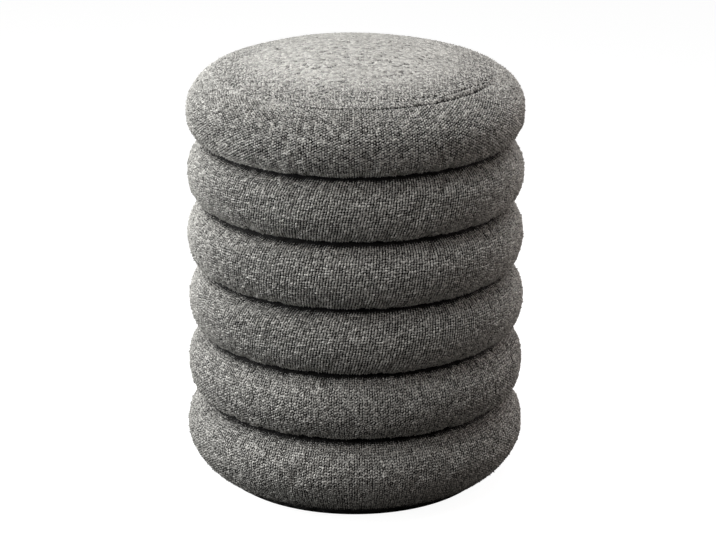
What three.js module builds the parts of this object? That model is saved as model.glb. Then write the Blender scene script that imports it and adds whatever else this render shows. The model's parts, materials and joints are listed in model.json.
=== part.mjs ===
// A round storage ottoman: a hard tub in five stuffed cloth rings, and a stuffed lid that lifts off it.
// Millimetres, +Z up. The origin is on the floor, at the middle of the ottoman.
import * as THREE from "three";

// Steps around the axis in every piece
const STEPS_AROUND = 60;

// Clearance between two pieces that touch
const GAP = 0.3;

// The hard tub, and the board under the lid that drops into it
const TUB_RADIUS = 134;
const TUB_WALL = 10;
const TUB_FLOOR = 12;
const TUB_EDGE = 1.5;
const BOARD_THICKNESS = 12;
const BOARD_PLAY = 2.5;
const BOARD_EDGE = 2;

// The neck is the drawn-in seam between two rings. A rounded side has two powers, tuck inwards and drop
// up or down: both are 1 on an ellipse, less where the side is fuller and more where it is flatter.
const NECK_RADIUS = 145.4;
const ROUND = { tuck: 0.95, drop: 0.95 };
const SIDE_STEPS = 5;

// The rings from the floor up. level is where the bulge is widest, above the ring's own foot, and shift
// is how far the stuffing sits off the middle along X. phase turns its unevenness around the axis.
const RINGS = [
  { name: "ring_1", height: 85.9, level: 49.1, bulge: 173.4, shift: 0.0, phase: 0.4 },
  { name: "ring_2", height: 68.9, level: 34.4, bulge: 171.6, shift: 0.6, phase: 2.1 },
  { name: "ring_3", height: 67.3, level: 33.6, bulge: 170.5, shift: 1.1, phase: 3.9 },
  { name: "ring_4", height: 67.4, level: 33.7, bulge: 170.6, shift: 0.8, phase: 5.2 },
  { name: "ring_5", height: 65.3, level: 32.8, bulge: 169.2, shift: 1.3, phase: 1.2 },
];

// The lowest ring tucks under to a flat foot on the floor
const FOOT = { radius: 136, tuck: 1.73, drop: 1.09 };

// How far the stuffing swells or sinks around a bulge
const UNEVENNESS = 0.7;

// The lid's cushion: its side rolls over from the widest level up to the top panel's seam, and the panel
// crowns above it. The lean lowers the seam's front edge and raises its back edge.
const LID = { level: 30.4, bulge: 169.9, shift: 1.0, phase: 4.4 };
const LID_ROLL = { centre: 116.6, rise: 46.1, tuck: 1.29, drop: 0.87, steps: 7 };
const LID_SEAM = { radius: 142.7, rise: 38.4, width: 6, depth: 1.6 };
const LID_CROWN = { rise: 25, power: 1.95, steps: 6 };
const LID_LEAN = 2.6;

// The top panel's seam is deep at the front and on the right, and faint elsewhere
const SEAM_DEEPEST_ANGLE = THREE.MathUtils.degToRad(-60);
const SEAM_FAINTEST_SHARE = 0.35;

const CLOTH = new THREE.MeshStandardMaterial({ color: 0x777571, roughness: 1, metalness: 0 });
const PLYWOOD = new THREE.MeshStandardMaterial({ color: 0xb99a70, roughness: 0.6, metalness: 0 });

const STACK_HEIGHT = RINGS.reduce((sum, ring) => sum + ring.height, 0);
const HARD_TOP = STACK_HEIGHT - GAP / 2;

// The stuffing's slow swell around a piece, from about -1 to 1
function swell(angle, phase) {
  const wide = Math.sin(2 * angle + phase);
  const middle = Math.sin(3 * angle + 2.1 * phase);
  const narrow = Math.sin(5 * angle + 3.7 * phase);
  return 0.5 * wide + 0.3 * middle + 0.2 * narrow;
}

// The radius of a piece's bulge in one direction, with its shift and its swell
function bulgeAt(piece, angle) {
  return piece.bulge + piece.shift * Math.cos(angle) + UNEVENNESS * swell(angle, piece.phase);
}

// A point on a rounded side that runs from the bulge at one level to an end: a turn of 0 is at the bulge
// and 1 at the end
function sidePoint(turn, bulge, level, end) {
  const angle = turn * Math.PI / 2;
  const radius = end.radius + (bulge - end.radius) * Math.cos(angle) ** end.tuck;
  const height = level + (end.level - level) * Math.sin(angle) ** end.drop;
  return [radius, height];
}

// The points of a side below the bulge, from its end up to the bulge
function lowerSide(bulge, level, end) {
  return Array.from({ length: SIDE_STEPS + 1 }, (_, step) =>
    sidePoint(1 - step / SIDE_STEPS, bulge, level, end));
}

// The points of a side above the bulge, from just over the bulge up to its end
function upperSide(bulge, level, end) {
  return Array.from({ length: SIDE_STEPS }, (_, step) =>
    sidePoint((step + 1) / SIDE_STEPS, bulge, level, end));
}

// Sweeps a section around the axis into one closed skin. sectionAt gives the section's [radius, height]
// points at an angle, outer side upwards. A hollow ring's section closes on itself. Any other section
// starts and ends on the axis, where all the sections share one point.
function sweepAround(sectionAt, isRing) {
  const sections = Array.from({ length: STEPS_AROUND }, (_, step) => {
    const angle = step / STEPS_AROUND * 2 * Math.PI;
    return sectionAt(angle).map(([radius, height]) => [
      radius * Math.cos(angle),
      radius * Math.sin(angle),
      height,
    ]);
  });
  const pointCount = sections[0].length;
  const lastPoint = pointCount - 1;
  const positions = sections.flat(2);
  const indices = [];
  const indexOf = (step, point) => {
    const onAxis = !isRing && (point === 0 || point === lastPoint);
    const row = onAxis ? 0 : step % STEPS_AROUND;
    return row * pointCount + point % pointCount;
  };
  for (let step = 0; step < STEPS_AROUND; step += 1) {
    for (let point = 0; point < (isRing ? pointCount : lastPoint); point += 1) {
      const low = indexOf(step, point);
      const lowNext = indexOf(step + 1, point);
      const high = indexOf(step, point + 1);
      const highNext = indexOf(step + 1, point + 1);
      if (low !== lowNext) {
        indices.push(low, lowNext, highNext);
      }
      if (high !== highNext) {
        indices.push(low, highNext, high);
      }
    }
  }
  const indexed = new THREE.BufferGeometry();
  indexed.setAttribute("position", new THREE.Float32BufferAttribute(positions, 3));
  indexed.setIndex(indices);
  const skin = indexed.toNonIndexed();
  skin.computeVertexNormals();
  return skin;
}

// A plain turned piece from its [radius, height] outline
function turned(outline) {
  const points = outline.map(([radius, height]) => new THREE.Vector2(radius, height));
  return new THREE.LatheGeometry(points, STEPS_AROUND).rotateX(Math.PI / 2);
}

function addPiece(group, name, geometry, material) {
  const mesh = new THREE.Mesh(geometry, material);
  mesh.name = name;
  group.add(mesh);
}

// The open tub, with its edges eased
function makeTub() {
  const inner = TUB_RADIUS - TUB_WALL;
  return turned([
    [0, 0],
    [TUB_RADIUS - TUB_EDGE, 0],
    [TUB_RADIUS, TUB_EDGE],
    [TUB_RADIUS, HARD_TOP - TUB_EDGE],
    [TUB_RADIUS - TUB_EDGE, HARD_TOP],
    [inner + TUB_EDGE, HARD_TOP],
    [inner, HARD_TOP - TUB_EDGE],
    [inner, TUB_FLOOR],
    [0, TUB_FLOOR],
  ]);
}

// The board under the lid, which fits loosely inside the tub's mouth
function makeLidBoard() {
  const radius = TUB_RADIUS - TUB_WALL - BOARD_PLAY;
  const underside = HARD_TOP - BOARD_THICKNESS;
  return turned([
    [0, underside],
    [radius - BOARD_EDGE, underside],
    [radius, underside + BOARD_EDGE],
    [radius, HARD_TOP],
    [0, HARD_TOP],
  ]);
}

// One stuffed ring around the tub, standing at the level of its foot
function makeRing(ring, foot) {
  const inner = TUB_RADIUS + GAP;
  const level = foot + ring.level;
  const upperEnd = { radius: NECK_RADIUS, level: foot + ring.height - GAP / 2, ...ROUND };
  const lowerEnd = foot === 0
    ? { level: 0, ...FOOT }
    : { radius: NECK_RADIUS, level: foot + GAP / 2, ...ROUND };
  return sweepAround((angle) => {
    const bulge = bulgeAt(ring, angle);
    return [
      [inner, lowerEnd.level],
      ...lowerSide(bulge, level, lowerEnd),
      ...upperSide(bulge, level, upperEnd),
      [inner, upperEnd.level],
    ];
  }, true);
}

// How deep the top panel's seam is drawn in at an angle
function seamDepthAt(angle) {
  const towards = (1 + Math.cos(angle - SEAM_DEEPEST_ANGLE)) / 2;
  return LID_SEAM.depth * THREE.MathUtils.lerp(SEAM_FAINTEST_SHARE, 1, towards);
}

// The lid's cushion: flat below, drawn in to the neck, rolled over its side and crowned on top
function makeLidCushion() {
  const level = STACK_HEIGHT + LID.level;
  const lowerEnd = { radius: NECK_RADIUS, level: STACK_HEIGHT + GAP / 2, ...ROUND };
  const rollEnd = { radius: LID_ROLL.centre, level: level + LID_ROLL.rise, ...LID_ROLL };
  const seamLevel = level + LID_SEAM.rise;
  const lipRadius = LID_SEAM.radius + LID_SEAM.width / 2;
  const panelRadius = LID_SEAM.radius - LID_SEAM.width / 2;
  return sweepAround((angle) => {
    const bulge = bulgeAt(LID, angle);
    // The roll stops where it comes in to the seam's outer lip
    const inShare = (lipRadius - rollEnd.radius) / (bulge - rollEnd.radius);
    const lastTurn = Math.acos(inShare ** (1 / rollEnd.tuck)) / (Math.PI / 2);
    const roll = Array.from({ length: LID_ROLL.steps }, (_, step) =>
      sidePoint(lastTurn * (step + 1) / LID_ROLL.steps, bulge, level, rollEnd));
    const crown = Array.from({ length: LID_CROWN.steps + 1 }, (_, step) => {
      const share = 1 - step / LID_CROWN.steps;
      return [panelRadius * share, seamLevel + LID_CROWN.rise * (1 - share ** LID_CROWN.power)];
    });
    const above = [...roll, [LID_SEAM.radius, seamLevel - seamDepthAt(angle)], ...crown];
    const leaning = above.map(([radius, height]) => {
      const share = Math.min(1, (height - level) / LID_SEAM.rise);
      const lean = LID_LEAN * Math.sin(angle) * share * radius / LID.bulge;
      return [radius, height + lean];
    });
    return [[0, lowerEnd.level], ...lowerSide(bulge, level, lowerEnd), ...leaning];
  }, false);
}

const ottoman = new THREE.Group();
addPiece(ottoman, "storage_tub", makeTub(), PLYWOOD);
let foot = 0;
for (const ring of RINGS) {
  addPiece(ottoman, ring.name, makeRing(ring, foot), CLOTH);
  foot += ring.height;
}
addPiece(ottoman, "lid_board", makeLidBoard(), PLYWOOD);
addPiece(ottoman, "lid_cushion", makeLidCushion(), CLOTH);

export default ottoman;
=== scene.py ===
"""A round storage ottoman: five stuffed boucle rings around a plywood tub, and a cushion lid that lifts off.

Sizes are in metres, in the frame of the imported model: +Z up, the floor at z = 0, the viewer on the -Y side.
"""

from __future__ import annotations

import json
import logging
import math
from dataclasses import dataclass, field, replace
from enum import Enum
from typing import Any

import bpy
import numpy as np
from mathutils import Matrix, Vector
from mathutils.geometry import delaunay_2d_cdt

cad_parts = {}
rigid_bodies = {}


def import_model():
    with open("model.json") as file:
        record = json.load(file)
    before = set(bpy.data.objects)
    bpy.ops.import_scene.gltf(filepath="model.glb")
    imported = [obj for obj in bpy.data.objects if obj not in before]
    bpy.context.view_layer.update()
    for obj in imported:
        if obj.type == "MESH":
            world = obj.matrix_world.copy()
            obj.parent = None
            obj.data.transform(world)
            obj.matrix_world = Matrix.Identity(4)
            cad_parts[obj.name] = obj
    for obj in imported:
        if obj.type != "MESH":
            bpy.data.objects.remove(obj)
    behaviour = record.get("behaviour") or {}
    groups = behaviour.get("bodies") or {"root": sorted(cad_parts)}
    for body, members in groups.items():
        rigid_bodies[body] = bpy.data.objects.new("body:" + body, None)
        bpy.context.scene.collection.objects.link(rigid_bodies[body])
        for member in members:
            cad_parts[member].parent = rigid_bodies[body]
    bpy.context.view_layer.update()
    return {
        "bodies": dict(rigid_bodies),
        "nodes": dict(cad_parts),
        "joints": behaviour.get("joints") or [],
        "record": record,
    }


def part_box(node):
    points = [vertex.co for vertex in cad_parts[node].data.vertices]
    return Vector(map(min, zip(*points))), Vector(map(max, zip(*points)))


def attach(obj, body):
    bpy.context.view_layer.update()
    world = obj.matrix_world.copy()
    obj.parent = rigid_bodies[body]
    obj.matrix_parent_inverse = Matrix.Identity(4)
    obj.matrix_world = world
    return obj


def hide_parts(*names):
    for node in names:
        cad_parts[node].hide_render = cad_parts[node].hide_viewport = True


LOG = logging.getLogger("ottoman")
TAU = 2 * math.pi
MM = 0.001

# The cloth's weave: the spacing of its ribs, and of the nubs of yarn along each rib
RIB_PITCH = 2.9 * MM
NUB_PITCH = 2.55 * MM

# How far the nubs stand out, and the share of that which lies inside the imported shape
NUB_RELIEF = 2.0 * MM
SUNK_SHARE = 0.7

# Heights as shares of the relief: how much the nubs vary, how far a few of them stand above the rest, the
# strands that bridge some of the gaps between them, and the loose fibre
NUB_VARIATION = 0.55
TALLEST_EXTRA = 0.4
BRIDGE_HEIGHT = 0.55
FIBRE_HEIGHT = 0.1

# The share of the nubs that stand above the rest, and of the places that have a strand
TALLEST_SHARE = 0.1
BRIDGE_SHARE = 0.2

# The furthest that a point of the cloth strays, each way along it
STRAY = 0.45 * MM

# The drawn-in seam between two rings, how full the cloth is above and below it, and how deep into it the
# nubs are modelled
NECK_RADIUS = 140 * MM
NECK_TUCK = 0.84
NECK_DROP = 0.90
DEEPEST_NUB = 146 * MM

# The two rows between a seam and the deepest nubs, as shares of the way there
SHELF = np.array([0, 0.5])

# In how many steps a side's curve is measured
CURVE_STEPS = 6000

# The nubs are pressed flat in the seam, inside the first radius, and stand free outside the second. The
# pressed cloth also takes the near-black painted shade of the hollows, standing in for the seam's shadow
SHADED_PRESSED_RADIUS = 149 * MM
OPEN_UNSHADED_RADIUS = 157 * MM

# How high the pile counts on flat cloth: beside the lid's seam, and out of sight while the lid is on
PLAIN_PILE = 0.7

# Clearance between the cloth and the hard parts
CLEARANCE = 0.3 * MM

WEAVE_MAP = "weave"
PILE_VALUE = "pile"

# The distance of the nearer lights, and the colour of the lights on the right
NEAR = 1.2
WARM = (1.0, 0.90, 0.865)


class Grain(Enum):
    """Which way the cloth's ribs run on a piece."""

    UPRIGHT = "ribs up and down"
    LEVEL = "ribs around"


def placed(radius: Any, theta: np.ndarray, height: Any) -> np.ndarray:
    """Gives places from their radius, direction and height, with x, y and z last."""
    return np.stack(np.broadcast_arrays(radius * np.cos(theta), radius * np.sin(theta), height), axis=-1)


def bell(off: np.ndarray, width: float) -> np.ndarray:
    """Gives a smooth bump, 1 in its middle and almost 0 two widths away."""
    return np.exp(-(off / width) ** 2)


def drawn_stray(seed: int, shape: tuple[int, ...]) -> np.ndarray:
    """Draws how far each point of the cloth strays across it and along it, in metres."""
    return STRAY * np.random.default_rng(seed).uniform(-1, 1, (2, *shape))


@dataclass(frozen=True)
class SideEnd:
    """Where a stuffed side ends, above or below its bulge.

    tuck and drop are the powers of its inward and upright run: 1 on an ellipse, less where it is fuller.
    Where it is drawn in, its nubs are pressed flat and its cloth takes a near-black painted shade.
    """

    radius: float
    level: float
    tuck: float = NECK_TUCK
    drop: float = NECK_DROP
    is_drawn_in: bool = True


@dataclass
class Section:
    """A stuffed side's curve, which can be followed by its length.

    bulge is its largest radius, and level the height of that.
    """

    bulge: float
    level: float
    lower: SideEnd
    upper: SideEnd
    turns: np.ndarray = field(init=False)
    runs: np.ndarray = field(init=False)

    def __post_init__(self) -> None:
        """Measures the curve."""
        self.turns = np.linspace(-1, 1, CURVE_STEPS + 1)
        radius, height = self.point(self.turns, self.bulge)
        steps = np.hypot(np.diff(radius), np.diff(height))
        self.runs = np.concatenate([[0], np.cumsum(steps)])

    def point(self, turn: Any, bulge: Any) -> tuple[Any, Any]:
        """Gives the radius and height of the side.

        Args:
            turn: From -1 at the lower end through 0 at the bulge to 1 at the upper end.
            bulge: Radius of the bulge at each place.

        Returns:
            The radius and the height.
        """
        angle = np.abs(turn) * math.pi / 2
        low, high = self.lower, self.upper
        below = turn < 0
        inward = np.maximum(np.cos(angle), 0) ** np.where(below, low.tuck, high.tuck)
        upright = np.maximum(np.sin(angle), 0) ** np.where(below, low.drop, high.drop)
        end_radius = np.where(below, low.radius, high.radius)
        end_level = np.where(below, low.level, high.level)
        return end_radius + (bulge - end_radius) * inward, self.level + (end_level - self.level) * upright

    def run_at(self, radius: float, above: bool) -> float:
        """Finds where the curve passes a radius.

        Args:
            radius: The radius.
            above: Whether to look above the bulge and not below it.

        Returns:
            How far along the curve that is.
        """
        half = self.turns >= 0 if above else self.turns <= 0
        radii = self.point(self.turns[half], self.bulge)[0]
        order = np.argsort(radii)
        return float(np.interp(radius, radii[order], self.runs[half][order]))

    def unpressed_unshaded(self, run: np.ndarray) -> np.ndarray:
        """Works out how far the cloth stands clear of the drawn-in seams, and so how much painted shade it
        takes.

        Args:
            run: Distances along the curve.

        Returns:
            How far each stands clear, from 0 in the seams, where the painted shade is full, to 1 on the side.
        """
        turn = self.turn_at(run)
        radius = self.point(turn, self.bulge)[0]
        unpressed_unshaded = np.clip((radius - SHADED_PRESSED_RADIUS) / (OPEN_UNSHADED_RADIUS - SHADED_PRESSED_RADIUS), 0, 1)
        return np.where((turn < 0) | self.upper.is_drawn_in, unpressed_unshaded, 1)

    def points(self, run: np.ndarray, theta: np.ndarray, bulge: np.ndarray) -> np.ndarray:
        """Gives places on the side from the run along it, the direction and the bulge there."""
        radius, height = self.point(self.turn_at(run), bulge)
        return placed(radius, theta, height)

    def turn_at(self, run: np.ndarray) -> np.ndarray:
        """Gives the turn at each distance along the curve."""
        return np.interp(run, self.runs, self.turns)


def bulge_by_direction(node: bpy.types.Object, theta: np.ndarray) -> np.ndarray:
    """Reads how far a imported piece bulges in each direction.

    Args:
        node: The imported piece, which is round about the Z axis.
        theta: Directions to give the bulge for, in radians from +X.

    Returns:
        The largest radius in each direction.
    """
    points = np.empty(len(node.data.vertices) * 3)
    node.data.vertices.foreach_get("co", points)
    points = points.reshape(-1, 3)
    radius = np.hypot(points[:, 0], points[:, 1])
    # Points near the axis have no clear direction. Rounding gives all the points of a section the same one
    outer = radius > 0.5 * radius.max()
    direction = np.round(np.mod(np.arctan2(points[outer, 1], points[outer, 0]), TAU), 3)
    directions = np.unique(direction)
    widest = np.array([radius[outer][direction == value].max() for value in directions])
    return np.interp(theta, directions, widest, period=TAU)


@dataclass(frozen=True)
class Waves:
    """A slow wandering of the weave over a side, made of a few waves around it and along its curve."""

    seed: int
    size: float = 0.25 * MM
    least_around: int = 3
    most_around: int = 90
    most_along: float = 900
    count: int = 14

    def wander(self, theta: np.ndarray, run: np.ndarray) -> np.ndarray:
        """Gives the distance that the weave has wandered.

        Args:
            theta: Directions around the axis.
            run: Distances along the side.

        Returns:
            The distance at each place, in metres.
        """
        draw = np.random.default_rng(self.seed)
        waves = np.zeros(np.broadcast(theta, run).shape)
        # Each wave has its own lengths, strength and start
        for _ in range(self.count):
            around = int(draw.integers(self.least_around, self.most_around))
            along = draw.uniform(0.15, 1) * self.most_along
            waves += draw.uniform(0.4, 1) * np.sin(around * theta + along * run + draw.uniform(0, TAU))
        return self.size * waves / math.sqrt(self.count)


def resampled(values: np.ndarray, places: np.ndarray, closes: bool) -> np.ndarray:
    """Reads smoothly between the rows of an array.

    Args:
        values: The array.
        places: Which row to read for each new one, as fractional row numbers.
        closes: Whether the first row follows the last.

    Returns:
        The array with the new rows.
    """
    low = np.floor(places).astype(int)
    rows = [low + step for step in (-1, 0, 1, 2)]
    rows = [row % len(values) if closes else np.clip(row, 0, len(values) - 1) for row in rows]
    before, here, after, beyond = (values[row] for row in rows)
    part = (places - low)[:, None]
    bend = 2 * before - 5 * here + 4 * after - beyond + part * (3 * (here - after) + beyond - before)
    return here + 0.5 * part * (after - before + part * bend)


@dataclass(frozen=True)
class Stuffing:
    """Stuffing that fills out cloth cut a little loose, worked out by Blender's cloth on a coarse grid.

    unevenness is how lumpy the cloth starts, and most is the furthest that any of it moves.
    """

    looseness: float = 0.015
    pressure: float = 4.0
    frames: int = 20
    unevenness: float = 0.15 * MM
    most: float = 3 * MM

    def swell(self, points: np.ndarray, held: np.ndarray, seed: int) -> np.ndarray:
        """Fills out a closed band of cloth.

        Args:
            points: Places of the band's points, in rows around the axis.
            held: Which of the points are sewn down.
            seed: Seed of the stuffing's unevenness.

        Returns:
            How far each point moves outwards.
        """
        rows, columns = held.shape
        numbers = np.arange(rows * columns).reshape(rows, columns)
        corners = face_corners(closed(numbers)).reshape(-1, 4)
        lumps = np.random.default_rng(seed).normal(0, self.unevenness, points.shape)
        start = points + lumps * ~held[..., None]
        mesh = bpy.data.meshes.new("stuffing")
        mesh.from_pydata(start.reshape(-1, 3).tolist(), [], corners.tolist())
        trial = bpy.data.objects.new("stuffing", mesh)
        bpy.context.scene.collection.objects.link(trial)
        trial.vertex_groups.new(name="held").add(numbers[held].tolist(), 1.0, "REPLACE")
        cloth = trial.modifiers.new("cloth", "CLOTH")
        settings = cloth.settings
        settings.vertex_group_mass = "held"
        settings.use_pressure = True
        settings.uniform_pressure_force = self.pressure
        settings.effector_weights.gravity = 0
        settings.shrink_min = settings.shrink_max = -self.looseness
        cloth.collision_settings.use_collision = False
        for frame in range(1, self.frames + 1):
            bpy.context.scene.frame_set(frame)
        filled = trial.evaluated_get(bpy.context.evaluated_depsgraph_get()).data
        places = np.empty(points.size)
        filled.vertices.foreach_get("co", places)
        bpy.data.objects.remove(trial, do_unlink=True)
        bpy.data.meshes.remove(mesh)
        bpy.context.scene.frame_set(1)
        moves = places.reshape(points.shape) - points
        return np.clip((moves * grid_normals(points)).sum(axis=-1), -self.most, self.most)


@dataclass
class Weave:
    """The cloth's weave on a grid of points: ribs, and the nubs of yarn along each rib.

    The grid has a row for each step up the cloth and a column for each step across it. Its steps keep to the
    weave: a rib has two steps, and so has a nub. drift is how far the nubs of neighbouring ribs lie out of
    step, parting how deeply the nubs of one rib are parted, and stand how high the lowest of them stand.
    """

    grain: Grain
    seed: int
    columns: int
    drift: float = 0.4
    parting: float = 1.0
    stand: float = 0.45

    @classmethod
    def around(cls, grain: Grain, seed: int, girth: float) -> Weave:
        """Fits a whole, even number of ribs or nubs around a closed band.

        Args:
            grain: Which way the ribs run.
            seed: Seed of the draws.
            girth: Length around the band.

        Returns:
            The weave.
        """
        if grain is Grain.UPRIGHT:
            return cls(grain, seed, 4 * round(girth / RIB_PITCH / 2), parting=0.8, stand=0.7)
        return cls(grain, seed, 4 * round(girth / NUB_PITCH / 2))

    @property
    def step(self) -> float:
        """Gives the distance between two rows."""
        return (NUB_PITCH if self.grain is Grain.UPRIGHT else RIB_PITCH) / 2

    @property
    def directions(self) -> np.ndarray:
        """Gives the direction of each column of a closed band."""
        return np.arange(self.columns) / self.columns * TAU

    def band(self, row: np.ndarray) -> tuple[np.ndarray, np.ndarray]:
        """Gives places in whole rows of a closed band, each with its first column again at its end."""
        return self.places(row[:, None], np.arange(self.columns + 1)[None, :])

    def places(self, row: np.ndarray, column: np.ndarray) -> tuple[np.ndarray, np.ndarray]:
        """Gives places in the weave.

        Args:
            row: Steps up the cloth.
            column: Steps across it.

        Returns:
            The places across, counted in ribs, and along, counted in nubs.
        """
        row, column = np.broadcast_arrays(row, column)
        upright = self.grain is Grain.UPRIGHT
        across, along = (column / 2, row / 2) if upright else (row / 2, column / 2)
        # Each rib's nubs drift along it by its own draws, one for every second nub
        ribs, knots = 1024, self.columns // 4
        draws = np.random.default_rng(self.seed).uniform(-1, 1, (ribs, knots))
        rib = np.floor(across % (self.columns / 2) if upright else across).astype(int) % ribs
        place = along / 2 + draws[rib, 0]
        knot = np.floor(place).astype(int)
        share = place - knot
        drift = (1 - share) * draws[rib, knot % knots] + share * draws[rib, (knot + 1) % knots]
        if not upright:
            # Every second nub of level cloth stands half a rib higher
            across = across + 0.25 * (1 + np.sin(math.pi * along))
        return across, along + self.drift * drift

    def heights(self, across: np.ndarray, along: np.ndarray) -> np.ndarray:
        """Shapes each nub of looped yarn on its rib.

        Args:
            across: Place across the ribs, counted in ribs.
            along: Place along the ribs, counted in nubs.

        Returns:
            How high the cloth stands at each place, from about 0 between the nubs to 1 and more on them.
        """
        table = 512
        draws = np.random.default_rng(self.seed + 1)
        tall, odd = draws.random((2, table, table))
        # The nudge keeps a place on the edge of a nub on its upper side
        rib, nub = (np.floor(place + 1e-6).astype(int) % table for place in (across, along))
        over_rib = np.abs(np.sin(math.pi * across))
        over_nub = 1 - self.parting * (1 - np.abs(np.sin(math.pi * along)))
        is_tallest = odd[rib, nub] > 1 - TALLEST_SHARE
        stands = self.stand + NUB_VARIATION * tall[rib, nub] + TALLEST_EXTRA * is_tallest
        loose, astray = draws.random((2, *rib.shape))
        bridge = BRIDGE_HEIGHT * (astray > 1 - BRIDGE_SHARE) * over_nub
        return np.maximum(over_rib * over_nub * stands, bridge) + FIBRE_HEIGHT * loose


def grid_normals(points: np.ndarray) -> np.ndarray:
    """Works out normals on a grid whose rows each close around the axis.

    Args:
        points: The grid's points, in rows.

    Returns:
        The normals, outward where the columns run anticlockwise as the rows go up.
    """
    up = np.gradient(points, axis=0)
    around = np.roll(points, -1, axis=1) - np.roll(points, 1, axis=1)
    normals = np.cross(around, up)
    return normals / np.maximum(np.linalg.norm(normals, axis=2, keepdims=True), 1e-12)


def closed(grid: np.ndarray) -> np.ndarray:
    """Repeats a grid's first column after its last, so that its faces close around the axis."""
    return np.concatenate([grid, grid[:, :1]], axis=1)


def face_corners(grid: np.ndarray) -> np.ndarray:
    """Lists a grid's values at the four corners of each face, first around and then up."""
    corners = (grid[:-1, :-1], grid[:-1, 1:], grid[1:, 1:], grid[1:, :-1])
    return np.stack(corners, axis=-1).reshape(-1)


@dataclass
class Skin:
    """A cloth skin in the making: its points, its faces, and what the cloth's finish reads from it."""

    points: list[np.ndarray] = field(default_factory=list)
    pile: list[np.ndarray] = field(default_factory=list)
    corners: list[np.ndarray] = field(default_factory=list)
    sides: list[np.ndarray] = field(default_factory=list)
    places: list[np.ndarray] = field(default_factory=list)
    count: int = 0

    def add_points(self, points: np.ndarray, pile: np.ndarray) -> np.ndarray:
        """Adds points.

        Args:
            points: The places, with x, y and z last.
            pile: How high the cloth stands at each, as a share of the relief.

        Returns:
            The new points' numbers, shaped as pile.
        """
        numbers = np.arange(self.count, self.count + pile.size).reshape(pile.shape)
        self.points.append(points.reshape(-1, 3))
        self.pile.append(pile.ravel())
        self.count += pile.size
        return numbers

    def add_grid(self, numbers: np.ndarray, across: np.ndarray, along: np.ndarray) -> None:
        """Adds the four-sided faces of a grid.

        Args:
            numbers: The points' numbers.
            across: Place across the ribs at each of them.
            along: Place along the ribs at each of them.
        """
        corners = face_corners(numbers)
        self.corners.append(corners)
        self.sides.append(np.full(corners.size // 4, 4))
        self.places.append(np.stack([face_corners(across), face_corners(along)], axis=-1))

    def add_net(self, numbers: np.ndarray, flat: np.ndarray, across: np.ndarray, along: np.ndarray) -> None:
        """Adds the three-sided faces between scattered points.

        Args:
            numbers: The points' numbers.
            flat: Where the points lie, seen from above.
            across: Place across the ribs at each of them.
            along: Place along the ribs at each of them.
        """
        # Points that coincide become one, so each of the net's points is traced back to a point given
        net = delaunay_2d_cdt([Vector(place) for place in (flat / MM).tolist()], [], [], 0, 1e-4)
        kept = np.array([origins[0] for origins in net[3]])
        corners = kept[np.array(net[2]).ravel()]
        self.corners.append(numbers[corners])
        self.sides.append(np.full(corners.size // 3, 3))
        self.places.append(np.stack([across[corners], along[corners]], axis=-1))

    def add_cap(self, numbers: np.ndarray, places: np.ndarray) -> None:
        """Adds one flat face with many corners.

        Args:
            numbers: The corners' numbers.
            places: The weave's places at them.
        """
        self.corners.append(numbers)
        self.sides.append(np.array([numbers.size]))
        self.places.append(places)

    def finish(self, name: str) -> bpy.types.Object:
        """Makes the Blender object.

        Args:
            name: The new piece's name.

        Returns:
            The object, linked to the scene.
        """
        points, corners, sides = (np.concatenate(part) for part in (self.points, self.corners, self.sides))
        mesh = bpy.data.meshes.new(name)
        mesh.vertices.add(len(points))
        mesh.vertices.foreach_set("co", points.ravel())
        mesh.loops.add(corners.size)
        mesh.loops.foreach_set("vertex_index", corners)
        mesh.polygons.add(sides.size)
        mesh.polygons.foreach_set("loop_start", np.concatenate([[0], np.cumsum(sides)[:-1]]))
        weave = mesh.uv_layers.new(name=WEAVE_MAP)
        weave.data.foreach_set("uv", np.concatenate(self.places).ravel())
        pile = mesh.attributes.new(PILE_VALUE, "FLOAT", "POINT")
        pile.data.foreach_set("value", np.concatenate(self.pile))
        mesh.update(calc_edges=True)
        mesh.shade_smooth()
        piece = bpy.data.objects.new(name, mesh)
        bpy.context.scene.collection.objects.link(piece)
        return piece


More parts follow.
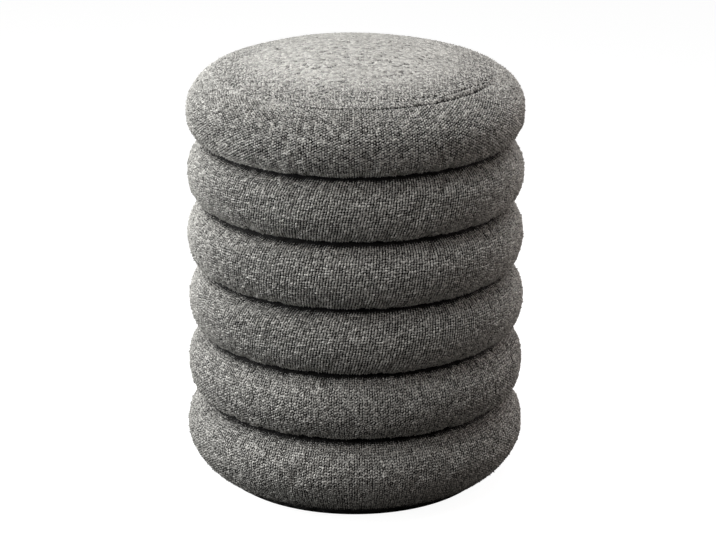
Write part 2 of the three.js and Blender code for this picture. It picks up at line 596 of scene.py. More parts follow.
class Nodes:
    """Short calls for adding and joining nodes in one tree."""

    def __init__(self, tree: bpy.types.NodeTree) -> None:
        """Keeps the tree that the nodes go into."""
        self.tree = tree

    def feed(self, socket: bpy.types.NodeSocket, value: Any) -> None:
        """Sets a socket to a value, or joins another socket to it.

        Args:
            socket: The socket.
            value: The value, or the socket to join.
        """
        if isinstance(value, bpy.types.NodeSocket):
            self.tree.links.new(value, socket)
        else:
            socket.default_value = value

    def add(self, kind: str, settings: dict[str, Any] | None = None, **inputs: Any) -> bpy.types.Node:
        """Adds a node.

        Args:
            kind: The node's type, without its prefix.
            settings: Values of the node's own properties.
            inputs: Values or sockets for its inputs, named with _ for each space.

        Returns:
            The node.
        """
        node = self.tree.nodes.new(kind if kind.startswith("Node") else "ShaderNode" + kind)
        for label, value in (settings or {}).items():
            setattr(node, label, value)
        for label, value in inputs.items():
            self.feed(node.inputs[label.replace("_", " ")], value)
        return node

    def worked_out(self, kind: str, settings: dict[str, Any],
                   values: tuple[Any, ...]) -> bpy.types.NodeSocket:
        """Adds a node that works one thing out.

        Args:
            kind: The node's type, without its prefix.
            settings: Values of the node's own properties.
            values: Values or sockets for its inputs, in their order.

        Returns:
            The result.
        """
        node = self.add(kind, settings)
        for socket, value in zip(node.inputs, values):
            self.feed(socket, value)
        return node.outputs[0]

    def maths(self, operation: str, *values: Any) -> bpy.types.NodeSocket:
        """Adds a Math node and gives its result."""
        return self.worked_out("Math", {"operation": operation}, values)

    def vector(self, operation: str, *values: Any) -> bpy.types.NodeSocket:
        """Adds a Vector Math node and gives its result."""
        return self.worked_out("VectorMath", {"operation": operation}, values)

    def mixed(self, share: Any, first: Any, second: Any, mode: str = "MIX") -> bpy.types.NodeSocket:
        """Mixes two colours.

        Args:
            share: The share of the second colour.
            first: The first colour, or the socket that gives it.
            second: The second colour, or the socket that gives it.
            mode: How they mix.

        Returns:
            The mixed colour.
        """
        node = self.add("Mix", {"data_type": "RGBA", "blend_type": mode})
        # The node's colours come after its numbers and vectors
        for index, value in ((0, share), (6, first), (7, second)):
            self.feed(node.inputs[index], value)
        return node.outputs[2]

    def ranged(self, value: Any, low: float, high: float, to_low: float, to_high: float,
               smooth: bool = False) -> bpy.types.NodeSocket:
        """Maps a value from one range to another, held at its ends, and gives the result."""
        settings = {"interpolation_type": "SMOOTHSTEP" if smooth else "LINEAR"}
        return self.worked_out("MapRange", settings, (value, low, high, to_low, to_high))

    def grey(self, value: Any) -> bpy.types.NodeSocket:
        """Makes a grey colour from a value."""
        return self.add("CombineColor", Red=value, Green=value, Blue=value).outputs[0]

    def parted_rays(self, seen: bpy.types.NodeSocket,
                    lighting: bpy.types.NodeSocket | None = None) -> bpy.types.NodeSocket:
        """Shows the camera one shader and gives another to the light that bounces about.

        Args:
            seen: The shader that the camera sees.
            lighting: The shader that all other rays meet, or None where they get no light.

        Returns:
            The two shaders in one.
        """
        node = self.add("MixShader", Fac=self.add("LightPath").outputs["Is Camera Ray"])
        if lighting is not None:
            self.feed(node.inputs[1], lighting)
        self.feed(node.inputs[2], seen)
        return node.outputs[0]


@dataclass(frozen=True)
class NodeGroup:
    """A shader node group with named inputs and outputs, built once."""

    name: str
    inputs: dict[str, float]
    outputs: tuple[str, ...]

    def start(self) -> tuple[bpy.types.NodeTree, Nodes, bpy.types.Node]:
        """Makes the group, its sockets and its input node.

        Returns:
            The group, the calls to fill it with, and the node that gives its inputs.
        """
        tree = bpy.data.node_groups.new(self.name, "ShaderNodeTree")
        for label, value in self.inputs.items():
            socket = tree.interface.new_socket(label, in_out="INPUT", socket_type="NodeSocketFloat")
            socket.default_value = value
        for label in self.outputs:
            tree.interface.new_socket(label, in_out="OUTPUT", socket_type="NodeSocketFloat")
        nodes = Nodes(tree)
        return tree, nodes, nodes.add("NodeGroupInput")


def yarn_nubs_group() -> bpy.types.NodeTree:
    """Builds the group that gives the height of nubby yarn and the painted shade of its hollows, from the
    cloth's weave map.

    Returns:
        A group with the inputs Curl and Curl Size, and the outputs Height, Cavity and Heather. Cavity is 0
        where low places take the painted shade and 1 where the yarn's own colour shows.
    """
    group = NodeGroup("yarn_nubs", {"Curl": 0.06, "Curl Size": 1.0},
                      ("Height", "Cavity", "Heather"))
    tree, nodes, given = group.start()
    place = nodes.add("TexCoord").outputs["Object"]
    weave = nodes.add("UVMap", {"uv_map": WEAVE_MAP}).outputs[0]
    pile = nodes.add("Attribute", {"attribute_name": PILE_VALUE}).outputs["Fac"]

    # The drawn nubs' roundness and their heights, and the heights where the hollows' painted shade ends and
    # full yarn starts
    roundness, least_tall, most_tall = 0.7, 0.6, 1.1
    painted_shade_top, yarn_start = 0.2, 0.6

    # A round nub for each place in the weave, some taller than others, and none where there is no pile
    places = nodes.add("SeparateXYZ", Vector=weave)
    humps = [
        nodes.maths("ABSOLUTE", nodes.maths("SINE", nodes.maths("MULTIPLY", places.outputs[axis], math.pi)))
        for axis in "XY"
    ]
    tint = nodes.add("SeparateColor", Color=nodes.add(
        "TexWhiteNoise", {"noise_dimensions": "2D"}, Vector=nodes.vector("FLOOR", weave)).outputs["Color"])
    dome = nodes.maths("POWER", nodes.maths("MULTIPLY", *humps), roundness)
    dome = nodes.maths("MULTIPLY", dome, nodes.ranged(tint.outputs[0], 0, 1, least_tall, most_tall))
    dome = nodes.maths("MULTIPLY", dome, nodes.ranged(pile, 0, 0.35, 0, 1))

    # Curled fibre on the yarn, along the middle of a noise that is 1 mm across where Curl Size is 1
    curl_scale = nodes.maths("DIVIDE", 1 / MM, given.outputs["Curl Size"])
    curls = nodes.add("TexNoise", Vector=place, Scale=curl_scale, Detail=3.0, Roughness=0.6).outputs["Fac"]
    ridge = nodes.maths("ABSOLUTE", nodes.maths("MULTIPLY_ADD", curls, 2.0, -1.0))
    curl = nodes.ranged(ridge, 0, 0.35, 1, 0)

    # The modelled pile and the drawn nub count alike
    raised = nodes.maths("MULTIPLY_ADD", pile, 0.5, nodes.maths("MULTIPLY", dome, 0.5))
    height = nodes.maths("MULTIPLY_ADD", curl, given.outputs["Curl"], raised)
    curled = nodes.maths("MULTIPLY_ADD", curl, 0.1, raised)
    # Low places take the near-black painted shade of the hollows, and the nubs the yarn's colour
    cavity = nodes.ranged(curled, painted_shade_top, yarn_start, 0, 1, smooth=True)

    result = nodes.add("NodeGroupOutput")
    nodes.feed(result.inputs["Height"], height)
    nodes.feed(result.inputs["Cavity"], cavity)
    nodes.feed(result.inputs["Heather"], tint.outputs[1])
    return tree


def wood_grain_group() -> bpy.types.NodeTree:
    """Builds the group that gives the figure and the pores of peeled birch veneer.

    Returns:
        A group with the inputs Stretch and Wander, and the outputs Figure and Pores.
    """
    group = NodeGroup("wood_grain", {"Stretch": 9.0, "Wander": 0.6}, ("Figure", "Pores"))
    tree, nodes, given = group.start()
    place = nodes.add("SeparateXYZ", Vector=nodes.add("TexCoord").outputs["Object"])
    along = nodes.maths("DIVIDE", place.outputs["X"], given.outputs["Stretch"])
    stretched = nodes.add("CombineXYZ", X=along, Y=place.outputs["Y"], Z=place.outputs["Z"]).outputs[0]
    figure = nodes.add("TexNoise", Vector=stretched, Scale=26.0, Detail=5.0,
                       Distortion=given.outputs["Wander"])
    pores = nodes.add("TexNoise", Vector=stretched, Scale=1400.0, Detail=2.0)
    result = nodes.add("NodeGroupOutput")
    nodes.feed(result.inputs["Figure"], figure.outputs["Fac"])
    nodes.feed(result.inputs["Pores"], pores.outputs["Fac"])
    return tree


def new_material(name: str) -> tuple[bpy.types.Material, Nodes]:
    """Makes an empty material.

    Args:
        name: The material's name.

    Returns:
        The material, and the calls to fill it with.
    """
    material = bpy.data.materials.new(name)
    material.use_nodes = True
    material.node_tree.nodes.clear()
    return material, Nodes(material.node_tree)


@dataclass(frozen=True)
class BoucleFinish:
    """The grey boucle cloth.

    heather is how much lighter or darker single nubs are, and curl how plainly the fibre on them shows. The
    colour of the hollows is a near-black painted shade, in the hollows between the nubs and down in the
    seams, where the real cloth is the same yarn in shadow.
    """

    yarn: tuple[float, float, float] = (0.550, 0.541, 0.511)
    painted_hollow_shade: tuple[float, float, float] = (0.0100, 0.0097, 0.0090)
    heather: float = 0.38
    curl: float = 0.06
    curl_size: float = 1.0
    bump: float = 2.0 * MM

    def material(self, name: str, yarn_nubs: bpy.types.NodeTree) -> bpy.types.Material:
        """Makes the cloth's material.

        Args:
            name: The material's name.
            yarn_nubs: The group that gives the height and the shade of the yarn.

        Returns:
            The material.
        """
        material, nodes = new_material(name)
        nubs = nodes.add("Group", {"node_tree": yarn_nubs}, Curl=self.curl, Curl_Size=self.curl_size)
        # The hollows and the seams take a near-black painted shade in place of the yarn's colour
        base = nodes.mixed(nubs.outputs["Cavity"], (*self.painted_hollow_shade, 1), (*self.yarn, 1))
        shade = nodes.ranged(nubs.outputs["Heather"], 0, 1, 1 - self.heather, 1 + self.heather)
        toned = nodes.mixed(1.0, base, nodes.grey(shade), "MULTIPLY")
        raised = nodes.add("Bump", Height=nubs.outputs["Height"], Distance=self.bump, Strength=1.0)
        shader = nodes.add("BsdfPrincipled", Base_Color=toned, Roughness=0.95, Normal=raised.outputs[0],
                           Specular_IOR_Level=0.15, Sheen_Weight=0.1, Sheen_Roughness=0.5)
        nodes.add("OutputMaterial", Surface=shader.outputs[0])
        return material


@dataclass(frozen=True)
class PlywoodFinish:
    """Clear-sealed birch plywood.

    stretch is how long its figure is drawn out along the veneer, and wander how far it strays from straight.
    """

    pale: tuple[float, float, float] = (0.62, 0.46, 0.29)
    dark: tuple[float, float, float] = (0.44, 0.29, 0.16)
    stretch: float = 9.0
    wander: float = 0.6

    def material(self, name: str, wood_grain: bpy.types.NodeTree) -> bpy.types.Material:
        """Makes the plywood's material.

        Args:
            name: The material's name.
            wood_grain: The group that gives the figure and the pores of the veneer.

        Returns:
            The material.
        """
        material, nodes = new_material(name)
        grain = nodes.add("Group", {"node_tree": wood_grain}, Stretch=self.stretch, Wander=self.wander)
        figure = nodes.ranged(grain.outputs["Figure"], 0.3, 0.7, 0, 1)
        base = nodes.mixed(figure, (*self.dark, 1), (*self.pale, 1))
        pores = nodes.grey(nodes.ranged(grain.outputs["Pores"], 0.3, 0.55, 0.8, 1))
        raised = nodes.add("Bump", Height=grain.outputs["Pores"], Distance=0.1 * MM, Strength=0.4)
        shader = nodes.add("BsdfPrincipled", Base_Color=nodes.mixed(1.0, base, pores, "MULTIPLY"),
                           Roughness=0.5, Normal=raised.outputs[0], Coat_Weight=0.15, Coat_Roughness=0.35)
        nodes.add("OutputMaterial", Surface=shader.outputs[0])
        return material


def swell_of_side(section: Section, node: bpy.types.Object, run: np.ndarray, theta: np.ndarray, seed: int,
                  end: float | None = None) -> np.ndarray:
    """Works out the stuffing's uneven swell on a piece's side, apart from its mean at each height.

    Args:
        section: The side's curve.
        node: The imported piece.
        run: How far along the curve each row lies.
        theta: Direction of each column around the axis.
        seed: Seed of the stuffing's unevenness.
        end: How far along the curve the cloth is sewn down above, where that isn't the curve's end.

    Returns:
        The swell, a row for each run and a column for each theta.
    """
    rows, columns = 17, 180
    reach = end or section.runs[-1]
    directions = np.arange(columns) / columns * TAU
    coarse_run = np.linspace(0, reach, rows)[:, None]
    points = section.points(coarse_run, directions[None, :], bulge_by_direction(node, directions)[None, :])
    held = np.zeros((rows, columns), bool)
    held[[0, -1]] = True
    swell = Stuffing().swell(points, held, seed)
    swell -= swell.mean(axis=1, keepdims=True)
    swell = resampled(swell, run / reach * (rows - 1), closes=False)
    return resampled(swell.T, theta / TAU * columns, closes=True).T


class ClothPiece:
    """A stuffed piece of cloth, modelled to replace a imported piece."""

    node: str
    body: str

    def dress(self, piece: bpy.types.Object, cloth: bpy.types.Material) -> None:
        """Gives the piece its finish, fixes it to its body, hides the imported piece that it replaces and
        reports it.

        Args:
            piece: The modelled piece.
            cloth: The cloth's material.
        """
        piece.data.materials.append(cloth)
        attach(piece, self.body)
        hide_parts(self.node)
        LOG.info("%s: %d faces", piece.name, len(piece.data.polygons))


@dataclass
class Ring(ClothPiece):
    """One stuffed cloth ring around the tub.

    level_share is how far up the ring its bulge lies, and lean how far its ribs lean as they go up. foot is
    how the lowest ring ends on the floor, and foot_edge how far out from there its nubs start. In edge_zone,
    beside the ring's two ends, the weave wanders less up and down. Each of its draws has its own seed,
    counted on from seed.
    """

    node: str
    grain: Grain
    seed: int
    level_share: float = 0.5
    lean: float = 0.0
    foot: SideEnd | None = None
    foot_edge: float = 1 * MM
    edge_zone: float = 6 * MM
    body: str = "base"

    def lay_rows(self, section: Section, step: float) -> tuple[np.ndarray, float]:
        """Spaces the rows: a few down in the seams, and one for each step of the weave between them.

        Args:
            section: The side's curve.
            step: Distance between two rows of the weave.

        Returns:
            How far along the curve each row lies, and where the weave starts.
        """
        lowest = section.lower.radius + self.foot_edge if self.foot else DEEPEST_NUB
        first = section.run_at(lowest, above=False)
        last = section.run_at(DEEPEST_NUB, above=True)
        fine = np.linspace(first, last, round((last - first) / step) + 1)
        end = section.runs[-1]
        return np.concatenate([SHELF * first, fine, end - SHELF[::-1] * (end - last)]), first

    def build(self, frame: dict[str, Any], tub_radius: float) -> bpy.types.Object:
        """Models the ring's cloth.

        Args:
            frame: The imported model.
            tub_radius: Outer radius of the tub that the ring sits on.

        Returns:
            The new piece.
        """
        low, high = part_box(self.node)
        lower = self.foot or SideEnd(NECK_RADIUS, low.z)
        upper = SideEnd(NECK_RADIUS, high.z)
        level = low.z + self.level_share * (high.z - low.z)
        mean_bulge = (high.x - low.x) / 2
        section = Section(mean_bulge, level, lower, upper)
        weave = Weave.around(self.grain, self.seed, TAU * mean_bulge)

        # The weave goes on over the shelves to the tub, and down the inner wall
        run, first = self.lay_rows(section, weave.step)
        end = run[-1]
        inner = tub_radius + CLEARANCE
        beyond = NECK_RADIUS - inner
        whole = np.concatenate([[-beyond], run, [end + beyond, end + beyond + high.z - low.z]])
        row = (whole - first) / weave.step
        across, along = weave.band(row)
        # The pile also sets the colour, so the pressed cloth in the seams takes the painted shade
        pile = weave.heights(across[1:-2], along[1:-2])[:, :-1] * section.unpressed_unshaded(run)[:, None]

        theta = weave.directions[None, :]
        aside, ahead = Waves(self.seed + 7), Waves(self.seed + 8)
        stray = drawn_stray(self.seed + 3, (run.size, weave.columns))
        stray[:, :SHELF.size] = stray[:, -SHELF.size:] = 0
        around = theta + (aside.wander(theta, run[:, None]) + self.lean * run[:, None]) / mean_bulge
        around += stray[0] / mean_bulge
        inside = np.clip(np.minimum(run, end - run) / self.edge_zone, 0, 1)[:, None]
        turn = section.turn_at(run[:, None] + ahead.wander(theta, run[:, None]) * inside + stray[1])
        bulge = bulge_by_direction(frame["nodes"][self.node], np.mod(around, TAU))
        radius, height = section.point(turn, bulge)
        points = placed(radius, around, height)

        # The nubs lie flat where the next ring leaves them no room
        room = np.clip(np.minimum(high.z - height, height - low.z) / NUB_RELIEF, 0, 1)
        rise = NUB_RELIEF * (pile - SUNK_SHARE) * room
        rise += swell_of_side(section, frame["nodes"][self.node], run, theta[0], self.seed + 5) * room
        points += grid_normals(points) * rise[..., None]
        points[..., 2] = np.clip(points[..., 2], low.z, high.z)

        # The hidden inner wall closes the section
        wall = np.stack([placed(inner, around[0], side.level) for side in (lower, upper)])
        pile[[0, -1]] = PLAIN_PILE
        skin = Skin()
        cloth = skin.add_points(points, pile)
        hidden = skin.add_points(wall, np.full(wall.shape[:2], PLAIN_PILE))
        skin.add_grid(closed(np.concatenate([hidden[:1], cloth, hidden[1:], hidden[:1]])), across, along)
        return skin.finish(self.node + "_cloth")


@dataclass(frozen=True)
class Seam:
    """The sewn seam around the lid's top panel, and the fold that runs inside it on the right.

    The seam is drawn in at the front and on the right, between its two ends, and lies flat elsewhere. depth
    and width are those of its groove, and a shoulder rises at each side of it. The fold has a crease, a welt
    beside that and slanted puckers. Each of these forms is given by how far it sinks or rises and by its
    width, and the welt and the puckers by how much of the way from the seam to the crease they lie. About
    flat_width from the seam the nubs are evened out, and within parted_shade_width they are parted, which
    gives the groove and the fold's crease a darker painted shade.
    """

    radius: float = 142.7 * MM
    rise: float = 38.4 * MM
    depth: float = 1.7 * MM
    width: float = 1.3 * MM
    shoulder: float = 0.5 * MM
    shoulder_off: float = 4 * MM
    shoulder_width: float = 2.5 * MM
    crease: float = 1.8 * MM
    crease_width: float = 1.8 * MM
    welt: float = 1.7 * MM
    welt_share: float = 0.45
    welt_width: float = 2.6 * MM
    pucker: float = 1.4 * MM
    pucker_share: float = 0.9
    pucker_width: float = 8 * MM
    flat_width: float = 2.6 * MM
    parted_shade_width: float = 1.8 * MM
    left_end: float = math.radians(-120)
    right_end: float = math.radians(-4)
    fold_end: float = math.radians(-88)
    end_fade: float = math.radians(9)
    right_fade: float = math.radians(32)

    def strength(self, theta: np.ndarray) -> np.ndarray:
        """Works out how deeply the seam is drawn in.

        Args:
            theta: Directions around the axis.

        Returns:
            The strength in each direction, from 0 to 1.
        """
        angle = np.mod(theta + math.pi, TAU) - math.pi
        to_end = np.minimum(angle - self.left_end, self.right_end - angle)
        fading = (self.right_end - angle) / self.right_fade
        # The thread pulls a little unevenly
        uneven = 0.92 + 0.08 * np.sin(23 * theta + 3 * np.sin(7 * theta))
        return uneven * np.clip(to_end / self.end_fade, 0, 1) * np.clip(fading, 0, 1)

    def fold(self, off: np.ndarray, theta: np.ndarray) -> tuple[np.ndarray, np.ndarray, np.ndarray]:
        """Follows the fold, which leaves the seam at the right and runs inside it towards the front.

        Args:
            off: Distance outwards from the seam, negative on the panel.
            theta: Directions around the axis.

        Returns:
            How plainly the fold shows, the distance to its crease, and how far inside the seam that runs.
        """
        angle = np.mod(theta + math.pi, TAU) - math.pi
        share = np.clip((self.right_end - angle) / (self.right_end - self.fold_end), 0, 1)
        # It runs from about 3.5 mm inside the seam to 13 mm, and shows most a third of the way along
        inside = (3.5 + 9.5 * share + np.sin(17 * theta)) * MM
        shown = np.sin(math.pi * share ** 0.7) ** 0.6
        return shown, off + inside, inside

    def relief(self, off: np.ndarray, theta: np.ndarray) -> np.ndarray:
        """Gives how far the cloth rises or sinks by the seam.

        Args:
            off: Distance outwards from the seam, negative on the panel.
            theta: Directions around the axis.

        Returns:
            The rise at each place, in metres.
        """
        groove = -self.depth * bell(off, self.width)
        shoulders = self.shoulder * bell(np.abs(off) - self.shoulder_off, self.shoulder_width)
        shown, to_crease, inside = self.fold(off, theta)
        crease = -self.crease * bell(to_crease, self.crease_width)
        welt = self.welt * bell(off + self.welt_share * inside, self.welt_width)
        # The puckers' waves share no measure, so that no two puckers look alike
        slanted = theta * 70 - off / (3 * MM)
        pucker = np.sin(slanted + 2 * np.sin(theta * 13)) * (0.6 + 0.4 * np.sin(theta * 19 + 1))
        pucker = self.pucker * pucker * bell(off + self.pucker_share * inside, self.pucker_width)
        return self.strength(theta) * (groove + shoulders) + shown * (crease + welt + pucker)

    def parted(self, pile: np.ndarray, off: np.ndarray, theta: np.ndarray) -> np.ndarray:
        """Parts the nubs along the seam and the fold, which gives the groove and the crease a darker painted
        shade.

        Args:
            pile: How high the nubs stand at each place.
            off: Distance outwards from the seam, negative on the panel.
            theta: Directions around the axis.

        Returns:
            How high they stand once the cloth is sewn. The lower pile there also darkens the colour with
            painted shade.
        """
        strength = self.strength(theta)
        shown, to_crease, _ = self.fold(off, theta)
        beside = strength * bell(off, self.flat_width)
        # Parted cloth in the groove and the crease takes painted shade
        in_groove = strength * bell(off, self.parted_shade_width)
        in_crease = 0.5 * shown * bell(to_crease, self.parted_shade_width)
        return (pile + beside * (PLAIN_PILE - pile)) * np.clip(1 - in_groove - in_crease, 0, 1)


@dataclass
class LidCushion(ClothPiece):
    """The lid's stuffed cushion.

    level_rise is how far up its bulge lies, and the level of roll counts from there. lean lowers the seam at
    the front and raises it at the back. rim_steps is how far inside the seam the panel's own points end, in
    steps of its grid.

    pressed is how far sitting has pressed the top panel's nubs together: not at all outside pressed_from and
    fully inside pressed_to, both shares of the seam's radius. Pressing fills the hollows and takes away most
    of their painted shade, so the top is lighter in colour than the sides. A dash is a short gap that stays
    open between pressed nubs, with its size in steps of the panel's grid, up and across, and it keeps the
    painted shade of the hollows. dash_share is the share of the panel that the dashes take, dash_depth how
    much of the pile they lack and dash_edge how softly they end.

    Each of its draws has its own seed, counted on from seed.
    """

    node: str = "lid_cushion"
    body: str = "lid"
    seed: int = 61
    level_rise: float = 30.25 * MM
    roll: SideEnd = SideEnd(116.6 * MM, 46.1 * MM, tuck=1.29, drop=0.87, is_drawn_in=False)
    crown_power: float = 1.95
    lean: float = 2.6 * MM
    columns: int = 832
    panel_rib: float = 2.3 * MM
    panel_nub: float = 2.7 * MM
    panel_relief: float = 0.6 * NUB_RELIEF
    panel_swell: float = 0.4 * MM
    rim_steps: float = 0.8
    pressed: float = 0.75
    pressed_from: float = 0.9
    pressed_to: float = 0.55
    rim_pile: float = 0.6
    dash: tuple[int, int] = (2, 3)
    dash_share: float = 0.28
    dash_depth: float = 0.7
    dash_edge: float = 0.12
    seam: Seam = Seam()

    def build(self, frame: dict[str, Any]) -> bpy.types.Object:
        """Models the cushion's cloth.

        Args:
            frame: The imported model.

        Returns:
            The new piece.
        """
        low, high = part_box(self.node)
        level = low.z + self.level_rise
        seam_level = level + self.seam.rise
        mean_bulge = (high.x - low.x) / 2
        lower = SideEnd(NECK_RADIUS, low.z)
        upper = replace(self.roll, level=level + self.roll.level)
        section = Section(mean_bulge, level, lower, upper)
        weave = Weave(Grain.LEVEL, self.seed, self.columns, drift=0.25, parting=0.85, stand=0.7)

        first = section.run_at(DEEPEST_NUB, above=False)
        last = section.run_at(self.seam.radius, above=True)
        steps = 2 * round((last - first) / RIB_PITCH)
        run = np.concatenate([SHELF * first, np.linspace(first, last, steps + 1)])
        across, along = weave.band((run - first) / (last - first) * steps)
        # The pile also sets the colour, so the pressed cloth by the drawn-in underside takes the painted
        # shade
        pile = weave.heights(across, along)[:, :-1] * section.unpressed_unshaded(run)[:, None]

        directions = weave.directions
        stray = drawn_stray(self.seed + 3, (run.size, weave.columns))
        stray[:, :SHELF.size] = stray[:, -1] = 0
        theta = directions[None, :] + stray[0] / mean_bulge
        bulge = bulge_by_direction(frame["nodes"][self.node], np.mod(theta, TAU))
        radius, height = section.point(section.turn_at(run[:, None] + stray[1]), bulge)
        # The side's top edge is brought to the seam itself
        widest = section.run_at(mean_bulge, above=True)
        share = np.clip((run[:, None] - widest) / (last - widest), 0, 1)
        radius = radius + (self.seam.radius - radius[-1:]) * share ** 2
        height = height + (seam_level - height[-1:]) * share ** 2
        lean = self.lean * np.sin(theta) * np.clip((height - level) / self.seam.rise, 0, 1)
        height = height + lean * radius / mean_bulge
        points = placed(radius, theta, height)

        room = np.clip((height - low.z) / NUB_RELIEF, 0, 1)
        rise = NUB_RELIEF * (pile - SUNK_SHARE) * room
        swell = swell_of_side(section, frame["nodes"][self.node], run, directions, self.seed + 5, last)
        rise += swell * room * (1 - share ** 4)
        off_seam = last - run[:, None] + 0 * theta
        rise += self.seam.relief(off_seam, theta)
        pile = self.seam.parted(pile, off_seam, theta)
        points += grid_normals(points) * rise[..., None]
        points[..., 2] = np.maximum(points[..., 2], low.z)

        skin = Skin()
        side = skin.add_points(points[:-1], pile[:-1])
        rim = self.add_panel(skin, seam_level, high.z, mean_bulge, directions)
        skin.add_grid(closed(np.concatenate([side, rim[None, :]])), across, along)
        self.add_underside(skin, side[0], theta[0], low.z)
        return skin.finish(self.node + "_cloth")

    def add_panel(self, skin: Skin, seam_level: float, top: float, mean_bulge: float,
                  theta: np.ndarray) -> np.ndarray:
        """Lays out the top panel: straight ribs of nubs, cut to a disc.

        Args:
            skin: The cushion's skin so far.
            seam_level: Height of the seam.
            top: Height of the crown.
            mean_bulge: Mean radius of the lid's bulge.
            theta: Direction of each of the side's columns.

        Returns:
            The numbers of the panel's rim, one for each of the side's columns.
        """
        tall, wide = self.panel_rib / 2, self.panel_nub / 2
        rows, columns = round(self.seam.radius / tall), round(self.seam.radius / wide)
        back, right = np.mgrid[-rows:rows + 1, -columns:columns + 1]
        weave = Weave(Grain.LEVEL, self.seed + 20, 4 * columns, drift=1.0, parting=0.7)
        across, along = weave.places(back, right)
        stray = drawn_stray(self.seed + 23, back.shape)
        x, y = right * wide + stray[0], back * tall + stray[1]
        inside = np.hypot(x, y) < self.seam.radius - self.rim_steps * wide
        pile = weave.heights(across, along)
        hollows = self.dashes(back.shape)

        # The rim joins the side's columns along the seam
        rim_x, rim_y = self.seam.radius * np.cos(theta), self.seam.radius * np.sin(theta)
        x, y = np.append(x[inside], rim_x), np.append(y[inside], rim_y)
        across = np.append(across[inside], rim_y / self.panel_rib)
        along = np.append(along[inside], rim_x / self.panel_nub)
        pile = np.append(pile[inside], np.full(theta.shape, self.rim_pile))
        hollows = np.append(hollows[inside], np.ones(theta.shape))

        distance, angle = np.hypot(x, y), np.arctan2(y, x)
        share = np.minimum(distance / self.seam.radius, 1)
        crown = top - seam_level
        height = seam_level + crown * (1 - share ** self.crown_power) + self.lean * y / mean_bulge
        slope = -crown * self.crown_power * share ** (self.crown_power - 1) / self.seam.radius
        normals = np.stack([-slope * np.cos(angle), -slope * np.sin(angle), 1 + 0 * slope], axis=-1)
        normals /= np.linalg.norm(normals, axis=-1, keepdims=True)
        # Sitting has pressed the nubs of the top together, which leaves only short hollows between them.
        # Pressing takes away most of the hollows' painted shade, so the top is lighter in colour than the
        # sides
        inwards = np.clip((self.pressed_from - share) / (self.pressed_from - self.pressed_to), 0, 1)
        pressed = self.pressed * inwards ** 2 * (3 - 2 * inwards)
        # The hollows are half as deep by the seam, and less darkened by painted shade
        hollows = 1 - (1 - hollows) * (1 + inwards) / 2
        pile = (1 - (1 - pressed) * (1 - pile)) * hollows
        pile = self.seam.parted(pile, distance - self.seam.radius, angle)
        rise = self.panel_relief * (pile - SUNK_SHARE)
        # The stuffing's unevenness is slow, and its waves share no measure
        stuffing = np.sin(23 * x + 11 * y + 1) + np.sin(31 * y - 17 * x + 2) + 0.5 * np.sin(58 * x + 40 * y)
        rise = rise + self.panel_swell * stuffing * (1 - share ** 8)
        rise = rise + self.seam.relief(distance - self.seam.radius, angle)
        points = np.stack([x, y, height], axis=-1) + normals * rise[..., None]
        numbers = skin.add_points(points, pile)
        skin.add_net(numbers, np.stack([x, y], axis=-1), across, along)
        return numbers[-theta.size:]

    def dashes(self, shape: tuple[int, int]) -> np.ndarray:
        """Draws the short hollows that stay open between pressed nubs, which keep the painted shade of the
        hollows.

        Args:
            shape: How many rows and columns of points the panel has.

        Returns:
            What share of the pile is left at each point.
        """
        (rows, columns), (tall, wide) = shape, self.dash
        draws = np.random.default_rng(self.seed + 30).random((rows // tall + 2, columns // wide + 2))
        draws = resampled(draws, np.arange(rows) / tall, closes=False)
        draws = resampled(draws.T, np.arange(columns) / wide, closes=False).T
        return 1 - self.dash_depth * np.clip((draws - 1 + self.dash_share) / self.dash_edge, 0, 1)

    @staticmethod
    def add_underside(skin: Skin, edge: np.ndarray, theta: np.ndarray, level: float) -> None:
        """Closes the cushion with flat cloth.

        Args:
            skin: The cushion's skin so far.
            edge: Numbers of its lowest row of points.
            theta: Directions of the columns.
            level: Height of the flat underside.
        """
        inner = 0.95 * NECK_RADIUS
        ring = skin.add_points(placed(inner, theta, level), np.full(theta.shape, PLAIN_PILE))
        turn = np.append(theta, TAU)[None, :]
        radii = np.array([[inner], [NECK_RADIUS]])
        across, along = radii * np.sin(turn) / RIB_PITCH, radii * np.cos(turn) / NUB_PITCH
        skin.add_grid(closed(np.stack([ring, edge])), across, along)
        skin.add_cap(ring[::-1], np.stack([across[0, :-1], along[0, :-1]], axis=-1)[::-1])


@dataclass(frozen=True)
class HardParts:
    """The plywood tub and the board under the lid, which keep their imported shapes."""

    nodes: tuple[str, ...] = ("storage_tub", "lid_board")

    def dress(self, frame: dict[str, Any], plywood: bpy.types.Material) -> None:
        """Gives them their finish and reports them.

        Args:
            frame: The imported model.
            plywood: The plywood's material.
        """
        for node in self.nodes:
            mesh = frame["nodes"][node].data
            mesh.materials.clear()
            mesh.materials.append(plywood)
            LOG.info("%s: %d faces", node, len(mesh.polygons))


@dataclass(frozen=True)
class Softbox:
    """A square soft light that faces the ottoman. It is half as wide as it is far away.

    azimuth is in degrees from +X, elevation in degrees above level, and aim the height that it faces.
    """

    name: str
    azimuth: float
    elevation: float
    power: float
    distance: float = 2.0
    colour: tuple[float, float, float] = (1.0, 1.0, 1.0)
    aim: float = 0.23

    def hang(self) -> None:
        """Adds the light to the scene."""
        data = bpy.data.lights.new(self.name, "AREA")
        data.shape = "SQUARE"
        data.size = 0.5 * self.distance
        data.color = self.colour
        data.energy = self.power
        light = bpy.data.objects.new(self.name, data)
        around, up = math.radians(self.azimuth), math.radians(self.elevation)
        reach = self.distance * math.cos(up)
        rise = self.aim + self.distance * math.sin(up)
        light.location = (reach * math.cos(around), reach * math.sin(around), rise)
        light.rotation_euler = (math.pi / 2 - up, 0, around + math.pi / 2)
        bpy.context.scene.collection.objects.link(light)


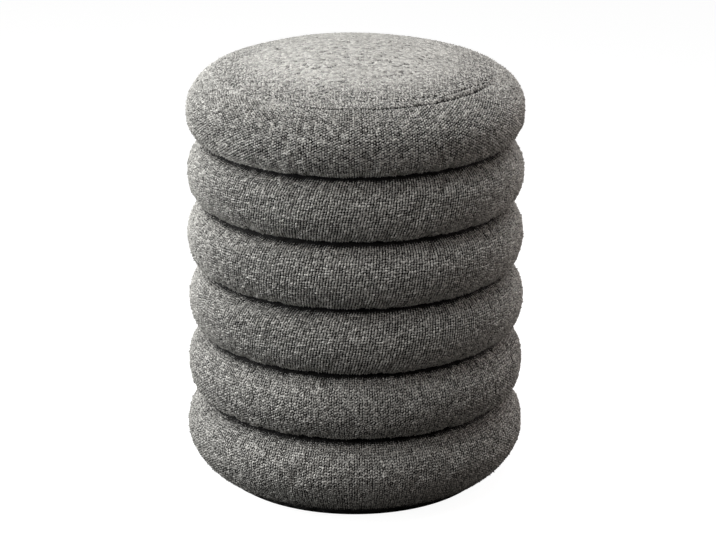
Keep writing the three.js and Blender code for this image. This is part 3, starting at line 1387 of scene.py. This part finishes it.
@dataclass(frozen=True)
class Studio:
    """The floor, the backdrop, the lights and the camera."""

    camera_distance: float = 2.5664
    camera_elevation: float = math.radians(18.817)
    aim: tuple[float, float, float] = (3.34 * MM, 0.0, 212.2 * MM)
    lens: float = 125.81
    floor_size: float = 24
    floor_glow: float = 0.94
    backdrop_glow: float = 1.05
    softboxes: tuple[Softbox, ...] = (
        Softbox("left_high_light", 180, 50, 18.1),
        Softbox("left_front_steep_light", 225, 70, 14.7),
        Softbox("left_light", 180, 12, 9.5, NEAR),
        Softbox("left_front_light", 225, 22, 3.6, NEAR),
        Softbox("right_steep_light", 0, 70, 4.4, NEAR),
        Softbox("right_back_light", 30, 12, 4.8, NEAR, WARM),
        Softbox("right_front_light", -45, 30, 2.0, NEAR, WARM),
    )

    def build(self) -> None:
        """Makes the whole studio."""
        bpy.context.scene.view_settings.view_transform = "Standard"
        self.place_camera()
        self.lay_floor()
        self.hang_backdrop()
        for softbox in self.softboxes:
            softbox.hang()

    def place_camera(self) -> None:
        """Sets the camera at the photograph's viewing angle."""
        data = bpy.data.cameras.new("camera")
        data.lens = self.lens
        camera = bpy.data.objects.new("camera", data)
        x, y, z = self.aim
        camera.location = (
            x,
            y - self.camera_distance * math.cos(self.camera_elevation),
            z + self.camera_distance * math.sin(self.camera_elevation),
        )
        camera.rotation_euler = (math.pi / 2 - self.camera_elevation, 0, 0)
        bpy.context.scene.collection.objects.link(camera)
        bpy.context.scene.camera = camera

    def lay_floor(self) -> None:
        """Lays a plain pale floor that sends little light back up."""
        bpy.ops.mesh.primitive_plane_add(size=self.floor_size)
        floor = bpy.context.object
        floor.name = "floor"
        material, nodes = new_material("pale_floor")
        glow = nodes.add("Emission", Color=(1, 1, 1, 1), Strength=self.floor_glow)
        pale = nodes.add("BsdfDiffuse", Color=(0.25, 0.25, 0.25, 1))
        seen = nodes.add("AddShader")
        nodes.feed(seen.inputs[0], glow.outputs[0])
        nodes.feed(seen.inputs[1], pale.outputs[0])
        dim = nodes.add("BsdfDiffuse", Color=(0.08, 0.078, 0.074, 1))
        nodes.add("OutputMaterial", Surface=nodes.parted_rays(seen.outputs[0], dim.outputs[0]))
        floor.data.materials.append(material)

    def hang_backdrop(self) -> None:
        """Makes a white backdrop that sends no light to the ottoman."""
        world = bpy.data.worlds.new("studio")
        bpy.context.scene.world = world
        world.use_nodes = True
        world.node_tree.nodes.clear()
        nodes = Nodes(world.node_tree)
        white = nodes.add("Background", Color=(1, 1, 1, 1), Strength=self.backdrop_glow)
        nodes.add("OutputWorld", Surface=nodes.parted_rays(white.outputs[0]))


# The lowest ring tucks under to the floor, and bulges 49.1 mm up of its 85.75 mm. Where it tucks under,
# its cloth takes the painted shade of the seams
RING_FOOT = SideEnd(136 * MM, 0.0, tuck=1.73, drop=1.09)
RINGS = (
    Ring("ring_1", Grain.LEVEL, 11, level_share=49.1 / 85.75, foot=RING_FOOT),
    Ring("ring_2", Grain.LEVEL, 21),
    Ring("ring_3", Grain.UPRIGHT, 31, lean=0.2),
    Ring("ring_4", Grain.UPRIGHT, 41, lean=0.14),
    Ring("ring_5", Grain.UPRIGHT, 51, lean=0.2),
)


def main() -> None:
    """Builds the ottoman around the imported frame."""
    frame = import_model()
    Studio().build()
    cloth = BoucleFinish().material("boucle_cloth", yarn_nubs_group())
    plywood = PlywoodFinish().material("plywood", wood_grain_group())
    tub_low, tub_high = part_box("storage_tub")
    for ring in RINGS:
        ring.dress(ring.build(frame, (tub_high.x - tub_low.x) / 2), cloth)
    lid = LidCushion()
    lid.dress(lid.build(frame), cloth)
    HardParts().dress(frame, plywood)


if __name__ == "__main__":
    logging.basicConfig(level=logging.INFO, format="%(message)s")
    main()
